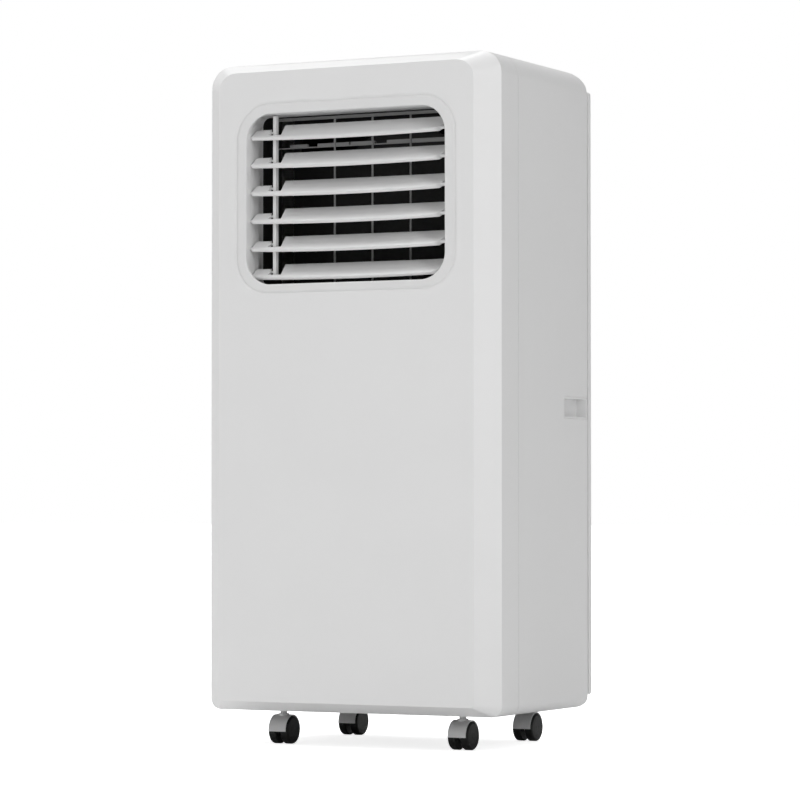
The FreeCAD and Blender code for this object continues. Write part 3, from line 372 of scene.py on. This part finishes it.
def make_digits():
    """A two-digit reading in seven-segment bars, lit faintly under the window's gloss."""
    shader = Shader("segment_light")
    shader.tint(shader.noise(600.0), (0.30, 0.62, 0.70), (0.40, 0.72, 0.80))
    shader.set(Roughness=0.3, Emission_Color=(0.45, 0.80, 0.90, 1.0), Emission_Strength=0.6)
    low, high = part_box("display_window")
    centre = (low + high) / 2
    tall = 5.0 * MM
    wide = 4.4 * MM
    thick = 1.0 * MM
    gap = 0.35 * MM
    upright = ((wide / 2, 0), (wide / 2, -tall), (-wide / 2, -tall), (-wide / 2, 0))
    mesh = bmesh.new()
    for place, digit in ((-5.2 * MM, "2"), (5.2 * MM, "4")):
        for segment in SEGMENTS[digit]:
            if segment in "agd":
                level = {"a": tall, "g": 0.0, "d": -tall}[segment]
                box_low = (-wide / 2 + gap, level - thick / 2)
                box_high = (wide / 2 - gap, level + thick / 2)
            else:
                x, y = upright["bcef".index(segment)]
                box_low = (x - thick / 2, y + thick / 2 + gap)
                box_high = (x + thick / 2, y + tall - thick / 2 - gap)
            add_block(mesh, (centre.x + place + box_low[0], centre.y + box_low[1], high.z - 0.05 * MM),
                      (centre.x + place + box_high[0], centre.y + box_high[1], high.z + 0.03 * MM))
    piece("display_digits", mesh, "cabinet", "display_lens", shader.material)


# ---------------------------------------------------------------- behind the rear cover

def make_net():
    """The filter's net: threads woven over and under each other."""
    low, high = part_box("filter_mesh")
    middle = (low.y + high.y) / 2
    pitch = 3.0 * MM
    radius = 0.22 * MM
    lift = 0.20 * MM
    columns = int((high.x - low.x - 2 * radius) / pitch)
    rows = int((high.z - low.z - 2 * radius) / pitch)
    left = (low.x + high.x - columns * pitch) / 2
    bottom = (low.z + high.z - rows * pitch) / 2
    mesh = bmesh.new()
    for column in range(columns + 1):
        x = left + column * pitch
        points = [Vector((x, middle + lift * (-1) ** (row + column), bottom + row * pitch))
                  for row in range(rows + 1)]
        add_tube(mesh, points, radius, 4)
    for row in range(rows + 1):
        z = bottom + row * pitch
        points = [Vector((left + column * pitch, middle - lift * (-1) ** (row + column), z))
                  for column in range(columns + 1)]
        add_tube(mesh, points, radius, 4)
    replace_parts(piece("filter_net", mesh, "filter", "filter_cloth"), "filter_mesh")


def make_finned_coil(node, rows):
    """Thin fins between two end plates, with copper tubes and their return bends."""
    low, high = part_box(node)
    edge = 5.5 * MM
    plate = 1.2 * MM
    fin = 0.3 * MM
    pitch = 2.4 * MM
    depth = (low.y + 1.5 * MM, high.y - 1.5 * MM)
    fins = bmesh.new()
    for x in (low.x + edge, high.x - edge - plate):
        add_block(fins, (x, low.y, low.z), (x + plate, high.y, high.z))
    count = int((high.x - low.x - 2 * edge - 2 * plate) / pitch)
    start = (low.x + high.x - (count - 1) * pitch) / 2
    for index in range(count):
        x = start + index * pitch
        add_block(fins, (x - fin / 2, depth[0], low.z + 1.0 * MM), (x + fin / 2, depth[1], high.z - 1.0 * MM))
    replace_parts(piece(f"{node}_fins", fins, "cabinet", "fin_aluminium"), node)
    tubes = bmesh.new()
    radius = 3.2 * MM
    middle = (low.y + high.y) / 2
    step = (high.z - low.z) / rows
    for index in range(rows):
        z = low.z + step * (index + 0.5)
        for x0, x1 in ((low.x + edge - 2.0 * MM, low.x + edge), (high.x - edge, high.x - edge + 2.0 * MM)):
            for y in (middle - 5.5 * MM, middle + 5.5 * MM):
                add_tube(tubes, [Vector((x0, y, z)), Vector((x1, y, z))], radius, 12)
    for side, x in ((-1, low.x + edge - 2.0 * MM), (1, high.x - edge + 2.0 * MM)):
        for index in range(rows):
            z = low.z + step * (index + 0.5)
            bend = [Vector((x + side * 2.0 * MM * math.sin(turn), middle - 5.5 * MM * math.cos(turn), z))
                    for turn in [math.pi * part / 10 for part in range(11)]]
            add_tube(tubes, bend, radius * 0.85, 12)
    piece(f"{node}_bends", tubes, "cabinet", "copper")


def make_collar_lugs():
    """Three ramped bayonet lugs round the hose collar."""
    low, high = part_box("exhaust_collar")
    centre = (low + high) / 2
    outer = 65.0 * MM
    mesh = bmesh.new()
    for index in range(3):
        start = 90 + index * 120
        outline = arc_band(outer - 0.4 * MM, outer + 1.8 * MM, start - 9, start + 9)

        def upright(corner):
            return Vector((centre.x + corner.x, high.y - corner.z, centre.z + corner.y))

        add_prism(mesh, outline, 1.0 * MM, 4.0 * MM, upright)
    soften(piece("collar_lugs", mesh, "cabinet", "shell_plastic"), 0.4)


def make_plug_ribs():
    """Grip ribs round the drain plug."""
    low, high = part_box("drain_plug")
    centre = (low + high) / 2
    mesh = bmesh.new()
    for index in range(18):
        outline = arc_band(8.3 * MM, 9.0 * MM, index * 20, index * 20 + 8, 3)

        def upright(corner):
            return Vector((centre.x + corner.x, high.y - corner.z, centre.z + corner.y))

        add_prism(mesh, outline, 0.3 * MM, 2.9 * MM, upright)
    piece("drain_plug_ribs", mesh, "drain_bung", "soft_rubber")


# ---------------------------------------------------------------- underside

def make_wheel_rings():
    """A raised ring and a low hub boss on each wheel's closed outer face."""
    for end in ("front", "rear"):
        for side in ("left", "right"):
            low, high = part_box(f"caster_{end}_{side}_wheels")
            centre = (low + high) / 2
            mesh = bmesh.new()
            for way, face in ((-1, low.x), (1, high.x)):
                middle = Vector((face, centre.y, centre.z))
                for inner, outer in ((8.6, 9.6), (2.2, 3.2)):
                    profile = [(depth * MM, radius * MM) for depth, radius in
                               ((-0.2, inner), (0.10, inner + 0.15), (0.10, outer - 0.15), (-0.2, outer))]
                    add_lathe(mesh, profile, middle, (way, 0, 0))
            piece(f"wheel_rings_{end}_{side}", mesh, f"caster_{end}_{side}_wheelset", "wheel_plastic")


def make_base_ribs():
    """Stiffening ribs along and across the underside of the base pan."""
    low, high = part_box("base_pan")
    bottom = low.z
    deep = 1.4 * MM
    inset = 16.0 * MM
    mesh = bmesh.new()
    for x in (-66.0, -22.0, 22.0, 66.0):
        add_block(mesh, ((x - 1.0) * MM, low.y + inset, bottom - deep),
                  ((x + 1.0) * MM, high.y - inset, bottom + 0.3 * MM))
    for y in (-0.012, 0.038):
        for x in (-88.0, -44.0, 0.0, 44.0, 88.0):
            half = 20.9 if abs(x) < 80 else 20.0
            add_block(mesh, ((x - half) * MM, y - 1.0 * MM, bottom - deep),
                      ((x + half) * MM, y + 1.0 * MM, bottom + 0.3 * MM))
    soften(piece("base_ribs", mesh, "cabinet", "guard_plastic"), 0.3)


make_icons()
make_digits()
make_net()
make_finned_coil("condenser_coil", 8)
make_finned_coil("evaporator_coil", 8)
make_collar_lugs()
make_plug_ribs()
make_wheel_rings()
make_base_ribs()


# ---------------------------------------------------------------- floor, light, camera

# Strengths: the floor's own glow as the camera sees it, and the world straight overhead.
LIGHT = {"floor": 0.8, "overhead": 1.18}
FLOOR_BOUNCE = 0.85
FLOOR_REACH = 30.0
SOFTBOXES = {
    # name: (place, width and height, power)
    "front_left": ((-1.5, -3.0, 1.1), (1.4, 1.8), 11.1),
    "front_top": ((0.4, -2.6, 2.4), (1.6, 1.0), 7.4),
    "right_strip": ((3.0, -1.7, 1.5), (0.7, 2.6), 37.0),
    "left_back": ((-3.2, 1.5, 0.9), (1.0, 2.6), 8.1),
    "top": ((-1.2, 0.0, 3.2), (2.0, 2.0), 55.5),
}


def make_floor():
    """Pale ground: it glows white to the camera and only bounces the lamps' light to the object."""
    mesh = bpy.data.meshes.new("studio_floor")
    reach = FLOOR_REACH
    mesh.from_pydata([(-reach, -reach, 0), (reach, -reach, 0), (reach, reach, 0), (-reach, reach, 0)],
                     [], [(0, 1, 2, 3)])
    floor = bpy.data.objects.new("studio_floor", mesh)
    bpy.context.scene.collection.objects.link(floor)
    shader = Shader("studio_floor")
    cloud = shader.noise(0.7, 2.0)
    seen = shader.node("ShaderNodeLightPath").outputs["Is Camera Ray"]
    shade = shader.node("ShaderNodeMix", data_type="RGBA")
    shade.inputs["A"].default_value = (*[FLOOR_BOUNCE] * 3, 1.0)
    shader.link(seen, shade.inputs["Factor"])
    mottle = shader.tint(cloud, (0.93, 0.93, 0.93), (0.96, 0.96, 0.96))
    shader.link(mottle.outputs["Color"], shade.inputs["B"])
    shader.link(shade.outputs["Result"], shader.surface.inputs["Base Color"])
    glow = shader.node("ShaderNodeMath", operation="MULTIPLY")
    glow.inputs[1].default_value = LIGHT["floor"]
    shader.link(seen, glow.inputs[0])
    shader.link(glow.outputs["Value"], shader.surface.inputs["Emission Strength"])
    shader.set(Roughness=0.9, Emission_Color=(1, 1, 1, 1))
    mesh.materials.append(shader.material)


def make_softbox(name, place, size, power):
    data = bpy.data.lights.new(name, "AREA")
    data.shape = "RECTANGLE"
    data.size, data.size_y = size
    data.energy = power
    lamp = bpy.data.objects.new(name, data)
    lamp.location = place
    aim = Vector((0, 0, 0.4)) - Vector(place)
    lamp.rotation_euler = aim.to_track_quat("-Z", "Y").to_euler()
    bpy.context.scene.collection.objects.link(lamp)


def make_world():
    """White to the camera; as light it is bright overhead and dark towards the horizon."""
    world = bpy.data.worlds.new("studio")
    bpy.context.scene.world = world
    world.use_nodes = True
    tree = world.node_tree
    tree.nodes.clear()
    output = tree.nodes.new("ShaderNodeOutputWorld")
    seen = tree.nodes.new("ShaderNodeBackground")
    seen.inputs["Color"].default_value = (1, 1, 1, 1)
    lighting = tree.nodes.new("ShaderNodeBackground")
    place = tree.nodes.new("ShaderNodeTexCoord")
    split = tree.nodes.new("ShaderNodeSeparateXYZ")
    rise = tree.nodes.new("ShaderNodeMapRange")
    rise.interpolation_type = "SMOOTHSTEP"
    rise.inputs["From Min"].default_value = 0.3
    rise.inputs["From Max"].default_value = 1.0
    rise.inputs["To Min"].default_value = 0.0
    rise.inputs["To Max"].default_value = LIGHT["overhead"]
    tree.links.new(place.outputs["Generated"], split.inputs["Vector"])
    tree.links.new(split.outputs["Z"], rise.inputs["Value"])
    tree.links.new(rise.outputs["Result"], lighting.inputs["Strength"])
    ray = tree.nodes.new("ShaderNodeLightPath")
    mix = tree.nodes.new("ShaderNodeMixShader")
    tree.links.new(ray.outputs["Is Camera Ray"], mix.inputs["Fac"])
    tree.links.new(lighting.outputs["Background"], mix.inputs[1])
    tree.links.new(seen.outputs["Background"], mix.inputs[2])
    tree.links.new(mix.outputs["Shader"], output.inputs["Surface"])


def make_camera():
    data = bpy.data.cameras.new("camera")
    data.lens = 156.9
    data.sensor_width = 36.0
    data.clip_end = 100.0
    camera = bpy.data.objects.new("camera", data)
    camera.location = (1.645, -3.1965, 0.2478)
    camera.rotation_euler = (math.radians(91.673), 0.0, math.radians(27.247))
    bpy.context.scene.collection.objects.link(camera)
    bpy.context.scene.camera = camera


bpy.context.scene.view_settings.view_transform = "Standard"
make_floor()
make_world()
for softbox, settings in SOFTBOXES.items():
    make_softbox(softbox, *settings)
make_camera()
